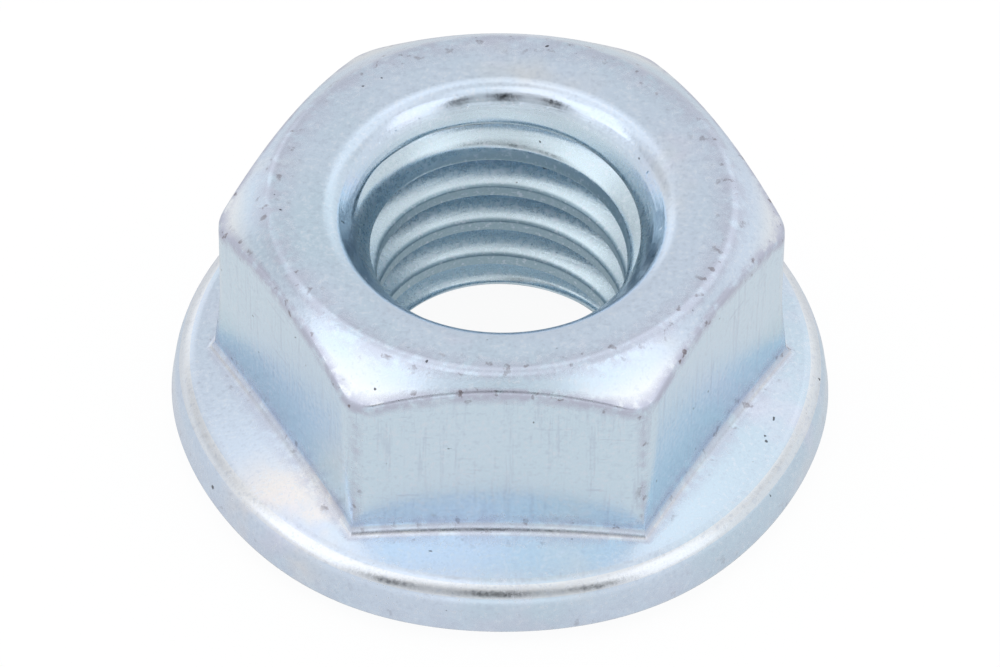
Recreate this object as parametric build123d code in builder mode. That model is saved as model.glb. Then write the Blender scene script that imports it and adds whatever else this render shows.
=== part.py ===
from build123d import *
import os
from math import cos, pi, radians, tan

# Serrated hexagon flange nut, M6, cold forged from steel in one piece.
# Millimetres. The origin is the centre of the bearing plane, where the tips
# of the serrations stand, and +Z runs up the thread axis. Two flats of the
# hexagon face along Y, and two of its corners lie on X.

# Hexagon
across_flats = 9.9
nut_height = 5.75
top_land_margin = 0.37  # from a flat in to the edge of the top land
chamfer_angle = 37.0
corner_cutback = 0.125  # from the sharp corner in to the rounded one
corner_flare = 0.25
corner_flare_height = 1.85
edge_radius = 0.12

# Flange
flange_width = 1.69  # from a flat out to the widest part of the rim
rim_height = 1.27
rim_draft = 8.0
rim_top_radius = 0.6
rim_bottom_chamfer = 0.12
flange_angle = 13.0
root_radius = 0.25

# Bore, at the minor diameter of the M6 thread, flared at both ends
bore_diameter = 4.95
mouth_width = 0.87  # how far the mouth opens beyond the bore
mouth_angle = 39.0
mouth_edge_radius = 0.55
throat_radius = 1.2
lead_out_width = 0.725  # how far the lead-out opens beyond the bore
lead_out_angle = 45.0
lead_out_radius = 0.3

# Serrations, a ring of ratchet teeth that stands out of the bearing face.
# Each tooth has a ramp towards the tightening side and a steep back that
# bites when the nut tries to turn loose. Depth and land are those of the
# outer end of a tooth.
tooth_count = 30
tooth_ring_margin = 0.54  # from the rim in to the tips of the teeth
tooth_ring_slope = 50.0
tooth_depth = 0.22
tooth_land = 0.38
tooth_back_angle = 75.0
rim_clearance = 0.03  # from the bottom of the notches up to the rim

flat_distance = across_flats / 2
top_land_edge = flat_distance - top_land_margin
corner_reach = flat_distance / cos(pi / 6) - corner_cutback
flange_edge = flat_distance + flange_width
bore_wall = bore_diameter / 2
mouth_edge = bore_wall + mouth_width
lead_out_edge = bore_wall + lead_out_width
tooth_ring_edge = flange_edge - tooth_ring_margin

# The rim's underside, and the foot of the step from the tooth ring up to it
rim_underside = tooth_depth + rim_clearance
step_foot = tooth_ring_edge + rim_underside / tan(radians(tooth_ring_slope))

# The rim's top edge, and the flange's height where it meets the flats and
# the corners of the hexagon
rim_top_edge = flange_edge - (rim_height - rim_underside) * tan(radians(rim_draft))
flange_slope = tan(radians(flange_angle))
hub_edge = flat_distance - root_radius
hub_height = rim_height + (rim_top_edge - hub_edge) * flange_slope
corner_foot = corner_reach + corner_flare
corner_foot_height = rim_height + (rim_top_edge - corner_foot) * flange_slope

# The rim's top edge is rounded, by no more than what the flange's land has
# room for between the root fillet at the corners and the rim
flange_turn = radians(flange_angle)
root_run = root_radius * tan((pi / 2 - flange_turn) / 2) * cos(flange_turn)
rim_land = rim_top_edge - corner_foot - root_run
rim_turn = pi / 2 - radians(rim_draft) - flange_turn
rim_rounding = min(rim_top_radius, rim_land / (tan(rim_turn / 2) * cos(flange_turn)))

# Every turned form is drawn on this half plane. It leaves the axis through
# the middle of a flat, so that no seam runs down a corner.
section = Plane.XZ.rotated((0, 0, 90))

# One notch of the serrations, from the foot of the step in to the bore. Its
# bottom runs down to the centre of the bearing plane, so the notch narrows
# inwards and leaves a radial tooth.
tooth_pitch = 2 * pi * step_foot / tooth_count
notch_width = tooth_pitch - tooth_land
notch_back = tooth_depth / tan(radians(tooth_back_angle))
with BuildPart() as tooth_notch:
    with BuildSketch(Plane.YZ.offset(step_foot)):
        with BuildLine():
            Polyline(
                (-notch_back, -tooth_depth),
                (notch_back, tooth_depth),
                (2 * notch_width - notch_back, -tooth_depth),
                close=True,
            )
        make_face()
    extrude(amount=step_foot - bore_wall, dir=(-step_foot, -notch_back, -tooth_depth))

with BuildPart() as flange_nut:
    # Hexagon, trimmed by the turned form that cuts its chamfer and rounds
    # its corners, which grow sharper towards the flange
    chamfer_drop = (corner_reach - top_land_edge) * tan(radians(chamfer_angle))
    with BuildSketch(Plane.XY.offset(rim_underside)):
        RegularPolygon(flat_distance, 6, major_radius=False)
    extrude(amount=nut_height - rim_underside)
    with BuildSketch(section):
        with BuildLine():
            turned_side = Polyline(
                (0, 0),
                (0, nut_height),
                (top_land_edge, nut_height),
                (corner_reach, nut_height - chamfer_drop),
                (corner_reach, corner_foot_height + corner_flare_height),
            )
            flared_foot = TangentArc(
                turned_side @ 1,
                (corner_foot, corner_foot_height),
                tangent=(0, -1),
            )
            Polyline(flared_foot @ 1, (corner_foot, 0), (0, 0))
        make_face()
    revolve(axis=Axis.Z, mode=Mode.INTERSECT)
    chamfer_arches = flange_nut.edges().filter_by(GeomType.HYPERBOLA)
    corner_arcs = flange_nut.edges().filter_by(GeomType.CIRCLE).group_by(Axis.Z)[-2]
    fillet(chamfer_arches + corner_arcs, edge_radius)

    # Flange, a shallow cone that ends in a drafted rim. Its underside has the
    # tooth ring, which stands lower than the rim.
    with BuildSketch(section):
        with BuildLine():
            Polyline(
                (0, 0),
                (tooth_ring_edge, 0),
                (step_foot, rim_underside),
                (flange_edge, rim_underside),
                (rim_top_edge, rim_height),
                (hub_edge, hub_height),
                (0, hub_height),
                close=True,
            )
        make_face()
    revolve(axis=Axis.Z)
    fillet(flange_nut.edges(Select.NEW), root_radius)
    turned_edges = flange_nut.edges().filter_by(GeomType.CIRCLE)
    rim_edges = turned_edges.sort_by(SortBy.RADIUS)[-2:].sort_by(Axis.Z)
    chamfer(rim_edges[0], rim_bottom_chamfer)
    fillet(rim_edges[1], rim_rounding)

    # Bore, a rolled mouth that narrows to the thread, and a short lead-out
    throat_depth = mouth_width / tan(radians(mouth_angle))
    lead_out_depth = lead_out_width / tan(radians(lead_out_angle))
    with BuildSketch(section):
        with BuildLine():
            FilletPolyline(
                (0, 0),
                (0, nut_height),
                (mouth_edge, nut_height),
                (bore_wall, nut_height - throat_depth),
                (bore_wall, lead_out_depth),
                (lead_out_edge, 0),
                close=True,
                radius=(0, 0, 0, throat_radius, lead_out_radius, 0),
            )
        make_face()
    revolve(axis=Axis.Z, mode=Mode.SUBTRACT)
    mouth_rim = flange_nut.edges(Select.LAST).filter_by(GeomType.CIRCLE).sort_by(Axis.Z)[-1]
    fillet(mouth_rim, mouth_edge_radius)

    # Serrations
    with PolarLocations(0, tooth_count):
        add(tooth_notch.part, mode=Mode.SUBTRACT)

os.makedirs("parts", exist_ok=True)
flange_nut.part.label = "flange_nut"
export_step(flange_nut.part, "parts/flange_nut.step")
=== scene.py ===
"""Serrated hexagon flange nut, M6: the dressed model, its material and a small studio.

The nut's sizes are in millimetres, as in the part's source, and become metres
when the mesh is made. The material and the studio are in metres.
"""

from math import acos, atan, ceil, cos, degrees, floor, pi, radians, sin, sqrt, tan

import bpy
from mathutils import Matrix, Vector


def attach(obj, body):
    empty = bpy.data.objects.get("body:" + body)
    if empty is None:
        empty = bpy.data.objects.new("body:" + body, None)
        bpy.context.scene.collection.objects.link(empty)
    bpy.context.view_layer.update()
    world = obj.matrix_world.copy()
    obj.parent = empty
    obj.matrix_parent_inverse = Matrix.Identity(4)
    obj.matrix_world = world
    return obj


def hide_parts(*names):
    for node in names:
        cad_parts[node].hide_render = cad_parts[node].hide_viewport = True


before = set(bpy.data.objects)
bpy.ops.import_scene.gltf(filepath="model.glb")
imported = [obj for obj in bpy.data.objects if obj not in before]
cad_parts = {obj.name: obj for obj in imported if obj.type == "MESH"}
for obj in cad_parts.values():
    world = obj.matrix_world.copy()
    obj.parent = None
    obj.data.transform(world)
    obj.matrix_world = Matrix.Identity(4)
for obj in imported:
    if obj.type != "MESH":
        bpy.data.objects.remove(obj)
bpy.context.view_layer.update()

MM = 0.001

# Hexagon: two flats face along Y, and two corners lie on X
FLAT_DISTANCE = 9.9 / 2
NUT_HEIGHT = 5.75
TOP_LAND_EDGE = FLAT_DISTANCE - 0.37
CHAMFER_SLOPE = tan(radians(37))
CORNER_REACH = FLAT_DISTANCE / cos(pi / 6) - 0.125
CORNER_FLARE = 0.25
CORNER_FLARE_HEIGHT = 1.85
CREASE_RADIUS = 0.35
EDGE_RADIUS = 0.18
CORNER_BLEND = 0.09

# Flange. Forging leaves it a little fuller under the corners of the hexagon.
FLANGE_EDGE = FLAT_DISTANCE + 1.69
FLANGE_SLOPE = tan(radians(13))
RIM_UNDERSIDE = 0.25
RIM_HEIGHT = 1.27
RIM_TOP_EDGE = FLANGE_EDGE - (RIM_HEIGHT - RIM_UNDERSIDE) * tan(radians(8))
RIM_TOP_RADIUS = 0.6
RIM_BOTTOM_RADIUS = 0.16
RIM_LOBE = 0.03
ROOT_RADIUS = 0.25

# Bore, with its mouth and lead-out. The mouth was pressed a little off centre,
# towards the front.
BORE_WALL = 4.95 / 2
MOUTH_EDGE = BORE_WALL + 0.89
MOUTH_SHIFT = 0.18
MOUTH_SLOPE = tan(radians(39))
MOUTH_RADIUS = 0.55
THROAT_RADIUS = 2.6
LEAD_OUT_EDGE = BORE_WALL + 0.725
LEAD_OUT_RADIUS = 0.3

# Thread, M6 with a 1 mm pitch, right hand. PHASE is the height of a groove
# at azimuth 0.
PITCH = 1.0
THREAD_ROOT = 3.1
ROOT_HALF_FLAT = 0.005
FLANK_SLOPE = tan(radians(30))
THREAD_PHASE = 2.6975
THREAD_BLEND = 0.05
ROOT_RELIEF = 0.004
RUN_OUT_HEIGHT = 4.6
RUN_OUT_SLOPE = 0.3

# Serrations
TOOTH_COUNT = 30
TOOTH_LAND = 0.38
TOOTH_RING_EDGE = FLANGE_EDGE - 0.54
STEP_SLOPE = tan(radians(50))
STEP_FOOT = TOOTH_RING_EDGE + RIM_UNDERSIDE / STEP_SLOPE
TOOTH_DEPTH = 0.22
TOOTH_BACK = tan(radians(75))
NOTCH_WIDTH = 2 * pi * STEP_FOOT / TOOTH_COUNT - TOOTH_LAND
NOTCH_BACK = TOOTH_DEPTH / TOOTH_BACK

# Degrees from one tooth to the next, and of the edges of the first one
TOOTH_TURN = 360 / TOOTH_COUNT
TOOTH_EDGES = (0, degrees(atan(NOTCH_BACK / STEP_FOOT)), degrees(atan(NOTCH_WIDTH / STEP_FOOT)))

# Where the turned outside hands over to the threaded bore, and the height
# that the thread's rows keep from there
MOUTH_SEAM = 5.5
LEAD_OUT_SEAM = 0.15
SEAM_GAP = 0.012

# How worn the plating is along the edges, from 0 to 1, and how wide the wear
# is along the upright corners. In the root the same value is painted shade.
CREASE_WEAR = 0.7
EDGE_WEAR = 1
CORNER_WEAR = 0.7
CORNER_WEAR_WIDTH = 0.2
# Painted shade in the concave root between the wall and the flange, laid on like wear
ROOT_SHADE = 0.6
RIM_TOP_WEAR = 0.1
RIM_BOTTOM_WEAR = 0.3

# How a rounding is divided: short steps at its two ends keep the flat faces
# beside it flat in the shading
ROUND_STEPS = (0, 0.04, 0.2, 0.4, 0.6, 0.8, 0.96, 1)
SMALL_ROUND_STEPS = (0, 0.08, 0.36, 0.64, 0.92, 1)

# Where the stretches between the roundings are divided
MIDDLE = (0.5,)
CHAMFER_SHARES = (0.4, 0.75)
WALL_SHARES = (0.06, 0.2, 0.4, 0.6, 0.8, 0.92)
CONE_SHARES = (0.33, 0.67)
LAND_SHARES = (0.3, 0.65)

# Mesh columns stand a degree apart, and a quarter of a degree apart for this
# many steps on both sides of a corner
CORNER_STEPS = 16
STEPS_PER_DEGREE = 4

# Heights of the mesh rows within one pitch, from the middle of the groove
THREAD_ROWS = (
    -0.5, -0.445, -0.415, -0.39, -0.365, -0.335, -0.27, -0.19, -0.12, -0.08, -0.04,
    0, 0.04, 0.08, 0.12, 0.19, 0.27, 0.335, 0.365, 0.39, 0.415, 0.445,
)


# ---------------------------------------------------------------- the form


def soft_min(a, b, blend):
    """The smaller of two lengths, with the crossing rounded over blend."""
    near = max(blend - abs(a - b), 0) / blend
    return min(a, b) - near * near * blend / 4


def soft_max(a, b, blend):
    return -soft_min(-a, -b, blend)


def rounding(before, corner, after, radius, steps):
    """Points of the arc that rounds a corner of a profile."""
    before, corner, after = Vector(before), Vector(corner), Vector(after)
    to_before = (before - corner).normalized()
    to_after = (after - corner).normalized()
    half = acos(max(-1, min(1, to_before.dot(to_after)))) / 2
    middle = (to_before + to_after).normalized()
    centre = corner + middle * (radius / sin(half))
    turn = pi - 2 * half
    start = corner + to_before * (radius / tan(half)) - centre
    side = 1 if start.x * middle.y - start.y * middle.x < 0 else -1
    points = []
    for step in steps:
        angle = side * turn * step
        points.append(
            (
                centre.x + start.x * cos(angle) - start.y * sin(angle),
                centre.y + start.x * sin(angle) + start.y * cos(angle),
            )
        )
    return points


def between(start, end, shares):
    return [
        (start[0] + (end[0] - start[0]) * share, start[1] + (end[1] - start[1]) * share)
        for share in shares
    ]


def flare_reach(z):
    """The corner's turned radius, which grows towards the flange."""
    corner_foot = CORNER_REACH + CORNER_FLARE
    foot_height = RIM_HEIGHT + (RIM_TOP_EDGE - corner_foot) * FLANGE_SLOPE
    below = foot_height + CORNER_FLARE_HEIGHT - z
    if below <= 0:
        return CORNER_REACH
    arc = (CORNER_FLARE_HEIGHT**2 + CORNER_FLARE**2) / (2 * CORNER_FLARE)
    return CORNER_REACH + arc - sqrt(arc * arc - min(below, CORNER_FLARE_HEIGHT) ** 2)


def wall_reach(azimuth, z):
    """Distance of the hexagon's side from the axis."""
    off_flat = (azimuth % (pi / 3)) - pi / 6
    return soft_min(FLAT_DISTANCE / cos(off_flat), flare_reach(z), CORNER_BLEND)


def notch_slope(azimuth):
    """Height of the serrations over distance from the axis."""
    turn = azimuth % (2 * pi / TOOTH_COUNT)
    x, y = cos(turn), sin(turn)
    ramp = TOOTH_DEPTH * (NOTCH_WIDTH * x / STEP_FOOT - y) / (NOTCH_WIDTH - NOTCH_BACK)
    return max(0, min(y * TOOTH_BACK, ramp))


def mouth_reach(azimuth):
    """Distance of the mouth's edge from the axis."""
    return MOUTH_EDGE - MOUTH_SHIFT * sin(azimuth)


def with_wear_and_shade(points, wear_and_shade):
    """Adds to each point how worn the plating is there, from 0 to 1. In the root of the flange
    the value is painted shade.
    """
    return [(reach, z, wear_and_shade) for reach, z in points]


def corner_wear(azimuth):
    """Wear along the hexagon's upright corners."""
    off_corner = abs((azimuth + pi / 6) % (pi / 3) - pi / 6)
    return CORNER_WEAR * max(0, 1 - off_corner * CORNER_REACH / CORNER_WEAR_WIDTH)


def top_profile(azimuth):
    """From the mouth's seam over the top land and the chamfer to the wall."""
    reach = wall_reach(azimuth, NUT_HEIGHT)
    edge = (reach, NUT_HEIGHT - (reach - TOP_LAND_EDGE) * CHAMFER_SLOPE)
    mouth = (mouth_reach(azimuth), NUT_HEIGHT)
    mouth_low = (mouth[0] - MOUTH_SLOPE * (NUT_HEIGHT - MOUTH_SEAM), MOUTH_SEAM)
    crease = (TOP_LAND_EDGE, NUT_HEIGHT)
    arc = rounding(mouth_low, mouth, crease, MOUTH_RADIUS, ROUND_STEPS)
    crease_arc = rounding(mouth, crease, edge, CREASE_RADIUS, ROUND_STEPS)
    edge_arc = rounding(crease, edge, (edge[0], 0), EDGE_RADIUS, ROUND_STEPS)
    points = with_wear_and_shade([mouth_low] + between(mouth_low, arc[0], MIDDLE) + arc, 0)
    points += with_wear_and_shade(between(arc[-1], crease_arc[0], MIDDLE), 0)
    points += with_wear_and_shade(crease_arc, CREASE_WEAR)
    points += with_wear_and_shade(between(crease_arc[-1], edge_arc[0], CHAMFER_SHARES), 0)
    return points + with_wear_and_shade(edge_arc, EDGE_WEAR)


def flange_profile(azimuth, wall_top):
    """From the wall down over the root, the flange's cone and the rim."""
    lobe = RIM_LOBE * (cos(6 * azimuth) - 1)
    reach = wall_reach(azimuth, RIM_HEIGHT + ROOT_RADIUS)
    foot = (reach, RIM_HEIGHT + (RIM_TOP_EDGE - reach) * FLANGE_SLOPE)
    rim_top = (RIM_TOP_EDGE + lobe, RIM_HEIGHT)
    rim_bottom = (FLANGE_EDGE + lobe, RIM_UNDERSIDE)
    step = (STEP_FOOT, RIM_UNDERSIDE)
    root = rounding((reach, NUT_HEIGHT), foot, rim_top, ROOT_RADIUS, ROUND_STEPS)
    wall = [
        (wall_reach(azimuth, z), z)
        for _, z in between((0, wall_top), root[0], WALL_SHARES)
    ]
    top_arc = rounding(foot, rim_top, rim_bottom, RIM_TOP_RADIUS, ROUND_STEPS)
    cone = between(root[-1], top_arc[0], CONE_SHARES)
    bottom_arc = rounding(rim_top, rim_bottom, step, RIM_BOTTOM_RADIUS, SMALL_ROUND_STEPS)
    # The root's value is painted shade, the others are wear
    points = with_wear_and_shade(wall, corner_wear(azimuth)) + with_wear_and_shade(root, ROOT_SHADE) + with_wear_and_shade(cone, 0)
    return points + with_wear_and_shade(top_arc, RIM_TOP_WEAR) + with_wear_and_shade(bottom_arc, RIM_BOTTOM_WEAR)


def underside_profile(azimuth):
    """From the rim's underside over the serrations to the lead-out's seam."""
    slope = notch_slope(azimuth)
    outer = TOOTH_RING_EDGE * STEP_SLOPE / (STEP_SLOPE - slope)
    inner = LEAD_OUT_EDGE / (1 + slope)
    seam = (LEAD_OUT_EDGE - LEAD_OUT_SEAM, LEAD_OUT_SEAM)
    land = between((outer, outer * slope), (inner, inner * slope), LAND_SHARES)
    points = [(STEP_FOOT, RIM_UNDERSIDE), (outer, outer * slope)] + land
    return with_wear_and_shade(points + [(inner, inner * slope), seam], 0)


def outside_profile(azimuth):
    top = top_profile(azimuth)
    return top + flange_profile(azimuth, top[-1][1]) + underside_profile(azimuth)


def plain_bore(azimuth, z):
    """Bore radius before the thread is cut."""
    throat_height = NUT_HEIGHT - (mouth_reach(azimuth) - BORE_WALL) / MOUTH_SLOPE
    cone = BORE_WALL + (z - throat_height) * MOUTH_SLOPE
    tangent = THROAT_RADIUS * tan(atan(MOUTH_SLOPE) / 2)
    into_throat = z - (throat_height - tangent)
    if 0 < into_throat < tangent * (1 + cos(atan(MOUTH_SLOPE))):
        return BORE_WALL + THROAT_RADIUS - sqrt(THROAT_RADIUS**2 - into_throat**2)
    lead_out = LEAD_OUT_EDGE - z
    return soft_max(max(cone, BORE_WALL), lead_out, LEAD_OUT_RADIUS / 2)


def bore_reach(azimuth, z, from_groove):
    """Bore radius with the thread, from_groove being the height off the groove."""
    depth = max(0, abs(from_groove) - ROOT_HALF_FLAT) / FLANK_SLOPE
    root = THREAD_ROOT - max(0, z - RUN_OUT_HEIGHT) * RUN_OUT_SLOPE
    groove = soft_min(root - depth, root - ROOT_RELIEF, THREAD_BLEND)
    return soft_max(plain_bore(azimuth, z), groove, THREAD_BLEND)


# ---------------------------------------------------------------- the mesh


def column_azimuths():
    """Degrees of the mesh columns: every degree, close together at the corners,
    and on every edge of the serrations."""
    columns = set(range(360))
    for corner in range(0, 360, 60):
        for step in range(-CORNER_STEPS, CORNER_STEPS + 1):
            columns.add((corner + step / STEPS_PER_DEGREE) % 360)
    for index in range(TOOTH_COUNT):
        columns |= {TOOTH_TURN * index + edge for edge in TOOTH_EDGES}
    return sorted(columns)


class Surface:
    """Vertices, their wear and painted root shade, and faces of the nut as they are collected.
    """

    def __init__(self):
        self.vertices = []
        self.wear_and_shade = []
        self.faces = []
        self.sharp = set()

    def point(self, azimuth, reach, z, wear_and_shade=0):
        self.vertices.append((reach * cos(azimuth), reach * sin(azimuth), z))
        self.wear_and_shade.append(wear_and_shade)
        return len(self.vertices) - 1

    def face(self, *corners):
        self.faces.append(corners)

    def crease(self, a, b):
        self.sharp.add((min(a, b), max(a, b)))


def add_outside(surface, azimuths):
    """The turned and forged outside. Returns its first and last ring."""
    grid = []
    for degree in azimuths:
        angle = radians(degree)
        grid.append([surface.point(angle, *place) for place in outside_profile(angle)])
    rows = len(grid[0])
    for left, right in zip(grid, grid[1:] + grid[:1]):
        for row in range(rows - 1):
            surface.face(left[row], left[row + 1], right[row + 1], right[row])
    crease_outside(surface, azimuths, grid)
    return [column[0] for column in grid], [column[-1] for column in grid]


def crease_outside(surface, azimuths, grid):
    """Marks the edges of the serrations as sharp. A column ends with the foot of
    the step, a tooth's outer end, two points of its land, its inner end and the
    lead-out's seam."""
    rows = len(grid[0])
    step_foot, tooth_start, tooth_end = rows - 6, rows - 5, rows - 2
    for left, right in zip(grid, grid[1:] + grid[:1]):
        for row in (step_foot, tooth_start, tooth_end):
            surface.crease(left[row], right[row])
    for degree, column in zip(azimuths, grid):
        if any(abs(degree % TOOTH_TURN - edge) < 1e-6 for edge in TOOTH_EDGES):
            for row in range(tooth_start, tooth_end):
                surface.crease(column[row], column[row + 1])


def thread_column(surface, degree):
    """One column of the bore, as {row number: vertex}. Rows climb with the
    thread, so a row number that goes once round has risen by one pitch."""
    count = len(THREAD_ROWS)
    rise = THREAD_PHASE + PITCH * degree / 360
    first = floor((LEAD_OUT_SEAM - rise) / PITCH) - 1
    last = ceil((MOUTH_SEAM - rise) / PITCH) + 1
    column = {}
    for turn in range(first, last + 1):
        for index, from_groove in enumerate(THREAD_ROWS):
            z = rise + turn * PITCH + from_groove
            if LEAD_OUT_SEAM + SEAM_GAP < z < MOUTH_SEAM - SEAM_GAP:
                angle = radians(degree)
                reach = bore_reach(angle, z, from_groove)
                column[turn * count + index] = surface.point(angle, reach, z)
    return column


def fill_strip(surface, upper, lower):
    """Triangles between two rows of (share along the strip, vertex)."""
    a, b = 0, 0
    while a < len(upper) - 1 or b < len(lower) - 1:
        step_upper = b == len(lower) - 1 or (
            a < len(upper) - 1 and upper[a + 1][0] <= lower[b + 1][0]
        )
        if step_upper:
            surface.face(upper[a][1], upper[a + 1][1], lower[b][1])
            a += 1
        else:
            surface.face(upper[a][1], lower[b + 1][1], lower[b][1])
            b += 1


def add_bore(surface, azimuths, mouth_ring, lead_out_ring):
    """The threaded bore between the two rings of the outside."""
    rings = dict(zip(azimuths, zip(mouth_ring, lead_out_ring)))
    columns = [thread_column(surface, degree) for degree in range(360)]
    turn = len(THREAD_ROWS)
    for degree in range(360):
        left, right = columns[degree], columns[(degree + 1) % 360]
        if degree == 359:
            right = {row - turn: vertex for row, vertex in right.items()}
        low = max(min(left), min(right))
        high = min(max(left), max(right))
        for row in range(low, high):
            surface.face(left[row], left[row + 1], right[row + 1], right[row])
        inside = [a for a in azimuths if degree <= a < degree + 1]
        shares = [(a - degree, rings[a]) for a in inside] + [(1, rings[(degree + 1) % 360])]
        above = [(0, left[row]) for row in range(max(left), high - 1, -1)]
        above += [(1, right[row]) for row in range(high, max(right) + 1)]
        fill_strip(surface, [(share, ring[0]) for share, ring in shares], above)
        below = [(0, left[row]) for row in range(min(left), low + 1)]
        below += [(1, right[row]) for row in range(low, min(right) - 1, -1)]
        fill_strip(surface, below, [(share, ring[1]) for share, ring in shares])


def build_nut():
    surface = Surface()
    azimuths = column_azimuths()
    mouth_ring, lead_out_ring = add_outside(surface, azimuths)
    add_bore(surface, azimuths, mouth_ring, lead_out_ring)
    mesh = bpy.data.meshes.new("nut_body")
    points = [tuple(MM * value for value in vertex) for vertex in surface.vertices]
    mesh.from_pydata(points, [], surface.faces)
    mesh.polygons.foreach_set("use_smooth", [True] * len(mesh.polygons))
    for edge in mesh.edges:
        edge.use_edge_sharp = tuple(sorted(edge.vertices)) in surface.sharp
    mesh.attributes.new("wear_and_shade", "FLOAT", "POINT").data.foreach_set("value", surface.wear_and_shade)
    mesh.update()
    nut = bpy.data.objects.new("nut_body", mesh)
    bpy.context.scene.collection.objects.link(nut)
    return nut


# ---------------------------------------------------------------- the finish


class Nodes:
    """Short calls for a material's node tree."""

    def __init__(self, tree):
        self.tree = tree
        tree.nodes.clear()

    def add(self, kind, **sockets):
        node = self.tree.nodes.new(kind)
        for name, value in sockets.items():
            self.set(node, name, value)
        return node

    def set(self, node, name, value):
        socket = node.inputs[int(name[1:]) if name[0] == "_" else name.replace("_", " ")]
        if isinstance(value, bpy.types.NodeSocket):
            self.tree.links.new(value, socket)
        else:
            socket.default_value = value

    def math(self, operation, a, b):
        node = self.add("ShaderNodeMath", _0=a, _1=b)
        node.operation = operation
        return node.outputs[0]

    def times(self, a, b):
        return self.math("MULTIPLY", a, b)

    def plus(self, a, b):
        return self.math("ADD", a, b)

    def vector(self, operation, a, b):
        node = self.add("ShaderNodeVectorMath", _0=a, _1=b)
        node.operation = operation
        return node

    def scaled(self, vector, factors):
        return self.vector("MULTIPLY", vector, factors).outputs["Vector"]

    def moved(self, vector, offset):
        return self.vector("ADD", vector, offset).outputs["Vector"]

    def length(self, vector):
        return self.vector("LENGTH", vector, (0, 0, 0)).outputs["Value"]

    def noise(self, vector, kind):
        """A noise of a kind given as {socket: value}, which may be stretched or
        moved along X."""
        kind = dict(kind, Vector=vector)
        if "stretch" in kind:
            kind["Vector"] = self.scaled(kind["Vector"], kind.pop("stretch"))
        if "shift" in kind:
            kind["Vector"] = self.moved(kind["Vector"], (kind.pop("shift"), 0, 0))
        return self.add("ShaderNodeTexNoise", **kind).outputs["Fac"]

    def span(self, value, low, high, out_low=0.0, out_high=1.0):
        """Maps low..high to out_low..out_high, and holds the ends."""
        node = self.add(
            "ShaderNodeMapRange",
            Value=value,
            From_Min=low,
            From_Max=high,
            To_Min=out_low,
            To_Max=out_high,
        )
        node.interpolation_type = "SMOOTHSTEP"
        return node.outputs["Result"]

    def mix(self, factor, a, b):
        node = self.tree.nodes.new("ShaderNodeMix")
        node.data_type = "RGBA"
        for index, value in ((0, factor), (6, a), (7, b)):
            if isinstance(value, bpy.types.NodeSocket):
                self.tree.links.new(value, node.inputs[index])
            elif index == 0:
                node.inputs[0].default_value = value
            else:
                node.inputs[index].default_value = (*value, 1)
        return node.outputs[2]

    def output(self, shader, kind="ShaderNodeOutputMaterial"):
        node = self.tree.nodes.new(kind)
        self.tree.links.new(shader, node.inputs["Surface"])


def new_material(name):
    material = bpy.data.materials.new(name)
    material.use_nodes = True
    return material, Nodes(material.node_tree)


# Tints of the plating, and colours that paint shade, a reflection and a highlight on it.
# Its passivation is thin and blue-white, and shifts to other tints as its thickness changes.
ZINC = (0.72, 0.83, 0.98)
ZINC_BLUE = (0.66, 0.81, 0.94)
ZINC_CREAM = (0.86, 0.86, 0.84)
ZINC_PINK = (0.80, 0.81, 0.96)
STRAW = (0.91, 0.88, 0.87)
# Painted shade: the plating is darker and tealer inside the bore
BORE_SHADE_ZINC = (0.65, 0.79, 0.86)
# Painted shade: a dark teal on the crests of the thread
CREST_SHADE_TEAL = (0.40, 0.55, 0.63)
FLAT_BLUE = (0.74, 0.89, 1.0)
# Painted reflection: a dark teal for the reflection of the flange on the feet of the side flats
FLANGE_REFLECTION_TEAL = (0.60, 0.80, 0.91)
DRAWN_GREY = (0.58, 0.66, 0.80)
# Painted highlight: a pale colour on the chamfers near the corners and on the rim's top
# rounding
PAINTED_HIGHLIGHT = (0.90, 0.92, 0.94)
PALE = (0.83, 0.90, 1.0)
# Worn grey and bare dashes along the edges; in the root of the flange they are painted shade
WORN_AND_ROOT_SHADE = (0.60, 0.63, 0.76)
BARE_AND_ROOT_SHADE = (0.20, 0.16, 0.17)
SPECK = (0.05, 0.05, 0.06)

# Noises of the finish. Stretch and shift are of the place, in metres.
GRAIN = {"Scale": 10000, "Detail": 5, "Roughness": 0.65}
DRAWN = {"Scale": 9000, "Detail": 3, "Roughness": 0.7, "stretch": (1, 1, 0.06)}
TURNED = {"Scale": 9000, "Detail": 3, "Roughness": 0.6, "stretch": (0.02, 0.02, 1)}
SCUFFS = {"Scale": 7000, "Detail": 3, "Roughness": 0.7, "stretch": (0.12, 0.12, 1)}
WEAR_CLOUDS = {"Scale": 2600, "Detail": 4, "Roughness": 0.7}
BLUE_CLOUDS = {"Scale": 260, "Detail": 3, "Roughness": 0.5}
CREAM_CLOUDS = {"Scale": 330, "Detail": 3, "Roughness": 0.6, "shift": 0.11}
PINK_CLOUDS = {"Scale": 480, "Detail": 3, "Roughness": 0.6, "shift": 0.07}
STRAW_CLOUDS = {"Scale": 700, "Detail": 3, "Roughness": 0.6, "shift": 0.05}
BARE_SPOTS = {"Scale": 4200, "Detail": 3, "Roughness": 0.5, "shift": 0.03}
DARK_SPECKS = {"Scale": 5200, "Detail": 2, "Roughness": 0.4}

# Soft steps of the finish: where each begins and ends, and its value before and
# after. These are of the distance from the axis, in metres,
IN_MOUTH = (0.0031, 0.0035, 1, 0)
IN_THREAD = (0.0028, 0.0031, 0.9, 0)
ON_CREST = (0.00250, 0.00256, 1, 0)
PAST_TOP_LAND = (0.0046, 0.0049, 0, 1)
BEFORE_RIM = (0.0059, 0.0061, 1, 0)
# NEAR_CORNERS, with SLOPING and NOT_LEVEL below, places the painted highlight
NEAR_CORNERS = (0.0049, 0.0054, 0, 0.8)
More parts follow.
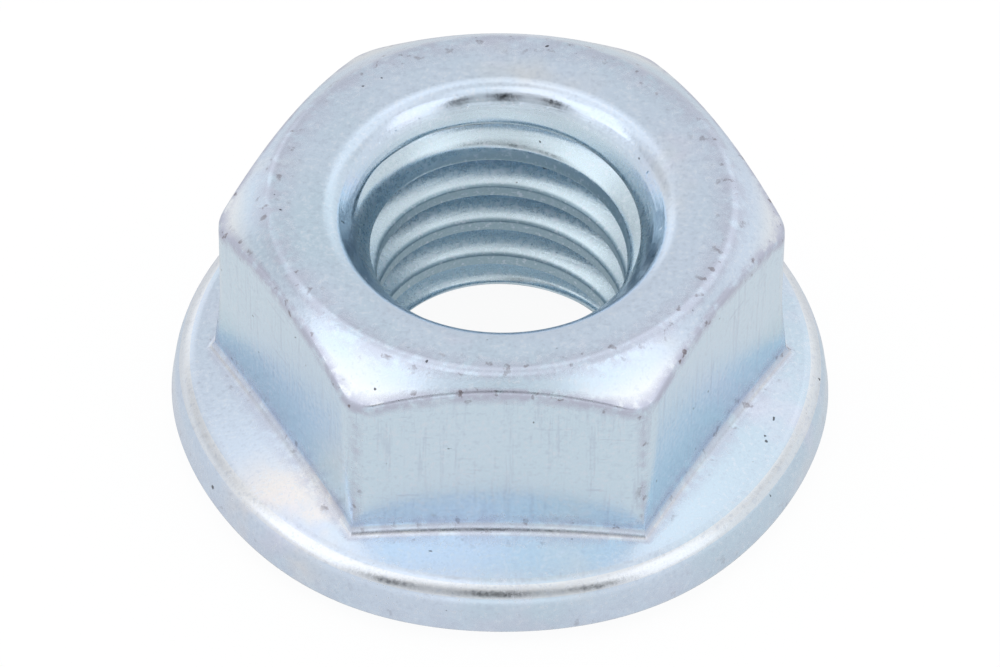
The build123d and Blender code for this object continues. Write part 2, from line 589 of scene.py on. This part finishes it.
# of the height, of the distance to the middle and of the distance to a patch,
# NEAR_FOOT and OFF_MIDDLE place the painted reflection of the flange
NEAR_FOOT = (0.0022, 0.0034, 0.75, 0)
OFF_MIDDLE = (0.0026, 0.0031, 0, 1)
NEAR_PATCH = (0.0006, 0.002, 1, 0)
# of the slope, which is 0 on upright faces and 1 on level ones,
UPRIGHT = (0.12, 0.3, 1, 0)
SLOPING = (0.6, 0.7, 0, 1)
NOT_LEVEL = (0.88, 0.94, 1, 0)
# and of the noises
BLUE_STEP = (0.38, 0.64, 0, 1)
CREAM_STEP = (0.56, 0.74, 0, 0.5)
PINK_STEP = (0.54, 0.72, 0, 0.6)
STRAW_STEP = (0.35, 0.6, 0, 1)
STREAK_STEP = (0.52, 0.7, 0, 0.42)
SCUFF_STEP = (0.6, 0.72, 0, 0.5)
PALE_STEP = (0.52, 0.66, 0, 0.6)
GREY_STEP = (0.48, 0.34, 0, 0.38)
WEAR_STEP = (0.34, 0.58, 0, 1)
BARE_STEP = (0.62, 0.68, 0, 0.8)
SPECK_STEP = (0.765, 0.79, 0, 0.85)
SATIN_ROUGHNESS = (0.35, 0.65, 0.17, 0.27)

# The middle of the straw-coloured patch on the flange, in metres
PATCH_PLACE = (-0.0043, -0.0045, 0.0015)
# How far the painted reflection of the flange on the foot of the flats wanders upwards with the
# cream clouds, in metres
REFLECTION_WANDER = 0.001
FLAT_BLUE_SHARE = 0.8

# What places add to the roughness
MOUTH_ROUGHNESS = -0.06
THREAD_ROUGHNESS = 0.14
CREST_ROUGHNESS = 0.2
WEAR_ROUGHNESS = 0.1

GRAIN_HEIGHT = 0.5
BUMP_STRENGTH = 0.5
BUMP_DISTANCE = 0.00001


def find_places(nodes, place):
    """Masks of places on the nut, each 1 there and 0 elsewhere."""
    from_axis = nodes.length(nodes.scaled(place, (1, 1, 0)))
    normal = nodes.add("ShaderNodeNewGeometry").outputs["True Normal"]
    slope = nodes.length(nodes.scaled(normal, (0, 0, 1)))
    hexagon = nodes.times(
        nodes.span(from_axis, *PAST_TOP_LAND), nodes.span(from_axis, *BEFORE_RIM)
    )
    sloping = nodes.times(nodes.span(slope, *SLOPING), nodes.span(slope, *NOT_LEVEL))
    to_patch = nodes.moved(place, tuple(-value for value in PATCH_PLACE))
    return {
        "mouth": nodes.span(from_axis, *IN_MOUTH),
        "thread": nodes.span(from_axis, *IN_THREAD),
        "crest": nodes.span(from_axis, *ON_CREST),
        "flats": nodes.times(nodes.span(slope, *UPRIGHT), hexagon),
        # the painted highlight on the chamfers near the corners and on the rim's top rounding
        "painted_highlight": nodes.times(sloping, nodes.span(from_axis, *NEAR_CORNERS)),
        "patch": nodes.span(nodes.length(to_patch), *NEAR_PATCH),
    }


def flange_reflection_mask(nodes, place, flats, cream):
    """Painted reflection of the flange, dark teal, on the lower part of the flats, apart from
    the two that face along Y.
    """
    height = nodes.length(nodes.scaled(place, (0, 0, 1)))
    height = nodes.plus(height, nodes.times(cream, REFLECTION_WANDER))
    low = nodes.times(nodes.span(height, *NEAR_FOOT), flats)
    off_middle = nodes.length(nodes.scaled(place, (1, 0, 0)))
    return nodes.times(low, nodes.span(off_middle, *OFF_MIDDLE))


def plating_colour(nodes, place, on, grain, drawn, wear_and_shade):
    """The plating's tints, with painted shade, a painted reflection and a painted highlight,
    laid over each other from the widest to the smallest.
    """

    def cut(kind, step):
        return nodes.span(nodes.noise(place, kind), *step)

    cream = cut(CREAM_CLOUDS, CREAM_STEP)
    layers = (
        (cream, ZINC_CREAM),
        (nodes.times(cut(STRAW_CLOUDS, STRAW_STEP), on["patch"]), STRAW),
        (cut(PINK_CLOUDS, PINK_STEP), ZINC_PINK),
        # painted shade inside the bore
        (on["thread"], BORE_SHADE_ZINC),
        # painted shade on the crests of the thread
        (on["crest"], CREST_SHADE_TEAL),
        (nodes.times(on["flats"], FLAT_BLUE_SHARE), FLAT_BLUE),
        # painted reflection of the flange on the feet of the side flats
        (flange_reflection_mask(nodes, place, on["flats"], cream), FLANGE_REFLECTION_TEAL),
        (nodes.times(nodes.span(drawn, *STREAK_STEP), on["flats"]), DRAWN_GREY),
        (nodes.times(cut(SCUFFS, SCUFF_STEP), on["flats"]), DRAWN_GREY),
        # painted highlight
        (on["painted_highlight"], PAINTED_HIGHLIGHT),
        (nodes.span(grain, *PALE_STEP), PALE),
        (nodes.span(grain, *GREY_STEP), DRAWN_GREY),
        # worn grey and bare dashes on the edges, painted shade in the root
        (wear_and_shade, WORN_AND_ROOT_SHADE),
        (nodes.times(cut(BARE_SPOTS, BARE_STEP), wear_and_shade), BARE_AND_ROOT_SHADE),
        (cut(DARK_SPECKS, SPECK_STEP), SPECK),
    )
    colour = nodes.mix(cut(BLUE_CLOUDS, BLUE_STEP), ZINC, ZINC_BLUE)
    for amount, tint in layers:
        colour = nodes.mix(amount, colour, tint)
    return colour


def zinc_material():
    """Zinc plate with a thin blue-white passivation. It is frosted, faintly
    iridescent and drawn upright on the flats, shines in the mouth, and is
    worn to a lavender grey, with bare dashes, along the hexagon's edges. Its
    colour also paints shade in the bore, on the thread's crests and in the
    flange's root, a dark reflection of the flange on the feet of the side
    flats, and highlights on the chamfers near the corners and the rim's top."""
    material, nodes = new_material("zinc_plated_steel")
    place = nodes.add("ShaderNodeTexCoord").outputs["Object"]
    on = find_places(nodes, place)
    grain = nodes.noise(place, GRAIN)
    drawn = nodes.noise(place, DRAWN)
    turned = nodes.noise(place, TURNED)
    # The wear along the edges, with the painted shade in the root
    wear_and_shade = nodes.add("ShaderNodeAttribute")
    wear_and_shade.attribute_name = "wear_and_shade"
    wear_clouds = nodes.span(nodes.noise(place, WEAR_CLOUDS), *WEAR_STEP)
    wear_and_shade = nodes.times(wear_and_shade.outputs["Fac"], wear_clouds)

    roughness = nodes.span(grain, *SATIN_ROUGHNESS)
    for mask, added in (
        (on["mouth"], MOUTH_ROUGHNESS),
        (on["thread"], THREAD_ROUGHNESS),
        (on["crest"], CREST_ROUGHNESS),
        (wear_and_shade, WEAR_ROUGHNESS),
    ):
        roughness = nodes.plus(roughness, nodes.times(mask, added))

    height = nodes.times(grain, GRAIN_HEIGHT)
    height = nodes.plus(height, nodes.times(drawn, on["flats"]))
    height = nodes.plus(height, nodes.times(turned, on["mouth"]))
    bump = nodes.add(
        "ShaderNodeBump", Strength=BUMP_STRENGTH, Distance=BUMP_DISTANCE, Height=height
    )
    shader = nodes.add(
        "ShaderNodeBsdfPrincipled",
        Base_Color=plating_colour(nodes, place, on, grain, drawn, wear_and_shade),
        Metallic=1.0,
        Roughness=roughness,
        Normal=bump.outputs["Normal"],
    )
    nodes.output(shader.outputs["BSDF"])
    return material


# ---------------------------------------------------------------- the studio


# Softboxes: name, azimuth and elevation in degrees, width and height in metres,
# and the radiance that a mirror would show. They stand 1 m away and shine at
# the middle of the nut.
SOFTBOXES = (
    ("softbox_left", 202, 44, 0.62, 0.72, 0.40),
    ("softbox_right", -31, 40, 0.58, 0.66, 0.36),
    ("overhead_left", 232, 73, 0.35, 0.35, 0.32),
    ("overhead_right", 305, 73, 0.30, 0.30, 0.16),
    ("back_left", 147, 64, 0.55, 0.55, 0.16),
    ("back_right", 37, 55, 0.60, 0.60, 0.14),
)
SOFTBOX_DISTANCE = 1.0
NUT_MIDDLE = (0, 0, 0.003)

# The floor: half of its side in metres, its own reflectance, and the levels
# that the camera sees and that metal and glass see
FLOOR_HALF = 1.5
FLOOR_GREY = 0.10
FLOOR_SEEN = 0.92
FLOOR_MIRRORED = 0.66

# The light tent's level
TENT = 0.82


def background_lift(nodes):
    """How much the floor is lifted to white for the camera, and to the level of
    the tent in metal and glass."""
    path = nodes.add("ShaderNodeLightPath").outputs
    mirrored = nodes.math("MAXIMUM", path["Is Glossy Ray"], path["Is Transmission Ray"])
    seen = nodes.times(path["Is Camera Ray"], FLOOR_SEEN)
    return nodes.math("MAXIMUM", seen, nodes.times(mirrored, FLOOR_MIRRORED))


def add_floor():
    """A plain white floor. It keeps the nut's shadow, and shows white elsewhere."""
    half = FLOOR_HALF
    corners = [(-half, -half, 0), (half, -half, 0), (half, half, 0), (-half, half, 0)]
    mesh = bpy.data.meshes.new("floor")
    mesh.from_pydata(corners, [], [(0, 1, 2, 3)])
    floor_object = bpy.data.objects.new("floor", mesh)
    material, nodes = new_material("floor")
    grey = (FLOOR_GREY, FLOOR_GREY, FLOOR_GREY, 1)
    paper = nodes.add("ShaderNodeBsdfDiffuse", Color=grey).outputs[0]
    lift = background_lift(nodes)
    glow = nodes.add("ShaderNodeEmission", Color=(1, 1, 1, 1), Strength=lift).outputs[0]
    both = nodes.add("ShaderNodeAddShader", _0=paper, _1=glow).outputs[0]
    nodes.output(both)
    mesh.materials.append(material)
    bpy.context.scene.collection.objects.link(floor_object)


# Parts of the light tent that are lighter or dimmer: azimuth, elevation, half
# width and half height in degrees, softness of the edge, and by how much. The
# camera stands before the front part, and its stand shows as three dark spots.
TENT_PARTS = (
    (267, 40, 38, 16, 0.35, -0.22),
    (90, 30, 28, 50, 0.5, -0.12),
    (157, 24, 20, 13, 0.35, -0.16),
    (125, 18, 13, 12, 0.5, 0.20),
    (54, 30, 15, 17, 0.5, 0.15),
    (186, 26, 8, 8, 0.4, 0.16),
    (90, 66, 20, 12, 0.3, 0.22),
    (14, 31, 9, 9, 0.5, -0.10),
    (270, 14, 22, 8, 0.4, 0.16),
    (236, 38, 5, 11, 0.25, -0.65),
    (269, 41, 6.5, 12, 0.25, -0.65),
    (300, 37, 5, 11, 0.25, -0.65),
)


def oval(nodes, direction, azimuth, elevation, half_width, half_height, soft):
    """1 towards an oval part of the tent and 0 elsewhere."""
    turn, rise = radians(azimuth), radians(elevation)
    ahead = (cos(rise) * cos(turn), cos(rise) * sin(turn), sin(rise))
    side = tuple(value / sin(radians(half_width)) for value in (-sin(turn), cos(turn), 0))
    up = Vector((-sin(rise) * cos(turn), -sin(rise) * sin(turn), cos(rise)))
    up = tuple(up / sin(radians(half_height)))
    across = nodes.vector("DOT_PRODUCT", direction, side).outputs["Value"]
    along = nodes.vector("DOT_PRODUCT", direction, up).outputs["Value"]
    facing = nodes.vector("DOT_PRODUCT", direction, ahead).outputs["Value"]
    off_centre = nodes.length(nodes.add("ShaderNodeCombineXYZ", X=across, Y=along).outputs[0])
    inside = nodes.span(off_centre, 1 - soft, 1 + soft, 1, 0)
    return nodes.times(inside, nodes.math("GREATER_THAN", facing, 0.0))


def add_world():
    """A white light tent, dimmer on the side where the camera stands and with
    lighter and dimmer parts round it."""
    world = bpy.data.worlds.new("studio")
    bpy.context.scene.world = world
    world.use_nodes = True
    nodes = Nodes(world.node_tree)
    direction = nodes.add("ShaderNodeTexCoord").outputs["Generated"]
    level = TENT
    for *place, amount in TENT_PARTS:
        level = nodes.plus(level, nodes.times(oval(nodes, direction, *place), amount))
    level = nodes.math("MAXIMUM", level, 0.0)
    sky = nodes.add("ShaderNodeBackground", Color=(1, 1, 1, 1), Strength=level)
    nodes.output(sky.outputs[0], "ShaderNodeOutputWorld")


def add_lights():
    for name, azimuth, elevation, width, height, radiance in SOFTBOXES:
        lamp = bpy.data.lights.new(name, "AREA")
        lamp.shape = "RECTANGLE"
        lamp.size, lamp.size_y = width, height
        lamp.energy = radiance * pi * width * height
        box = bpy.data.objects.new(name, lamp)
        turn, rise = radians(azimuth), radians(elevation)
        towards = Vector((cos(rise) * cos(turn), cos(rise) * sin(turn), sin(rise)))
        box.location = towards * SOFTBOX_DISTANCE
        box.rotation_mode = "QUATERNION"
        aim = Vector(NUT_MIDDLE) - box.location
        box.rotation_quaternion = aim.to_track_quat("-Z", "Y")
        bpy.context.scene.collection.objects.link(box)


# Camera, solved from the outline of the nut in the picture. Its distance and
# target are in millimetres, and it stands on the side of -Y.
CAMERA_ELEVATION = radians(46.935)
CAMERA_ROLL = radians(0.616)
CAMERA_DISTANCE = 160.0
CAMERA_TARGET = (-0.011, 0, 1.906)
FOCAL_PIXELS = 7992.0
IMAGE_WIDTH = 1000
SENSOR_WIDTH = 36


def add_camera():
    data = bpy.data.cameras.new("camera")
    data.sensor_fit = "HORIZONTAL"
    data.sensor_width = SENSOR_WIDTH
    data.lens = FOCAL_PIXELS / IMAGE_WIDTH * SENSOR_WIDTH
    data.clip_start = 0.01
    data.clip_end = 10
    back = Vector((0, -cos(CAMERA_ELEVATION), sin(CAMERA_ELEVATION)))
    right = Vector((1, 0, 0))
    up = back.cross(right)
    x = right * cos(CAMERA_ROLL) + up * sin(CAMERA_ROLL)
    y = up * cos(CAMERA_ROLL) - right * sin(CAMERA_ROLL)
    camera = bpy.data.objects.new("camera", data)
    turn = Matrix((x, y, back)).transposed().to_4x4()
    place = (Vector(CAMERA_TARGET) + back * CAMERA_DISTANCE) * MM
    camera.matrix_world = Matrix.Translation(place) @ turn
    bpy.context.scene.collection.objects.link(camera)
    bpy.context.scene.camera = camera


nut = build_nut()
nut.data.materials.append(zinc_material())
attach(nut, "root")
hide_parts("flange_nut")

add_floor()
add_world()
add_lights()
add_camera()
bpy.context.scene.view_settings.view_transform = "Standard"
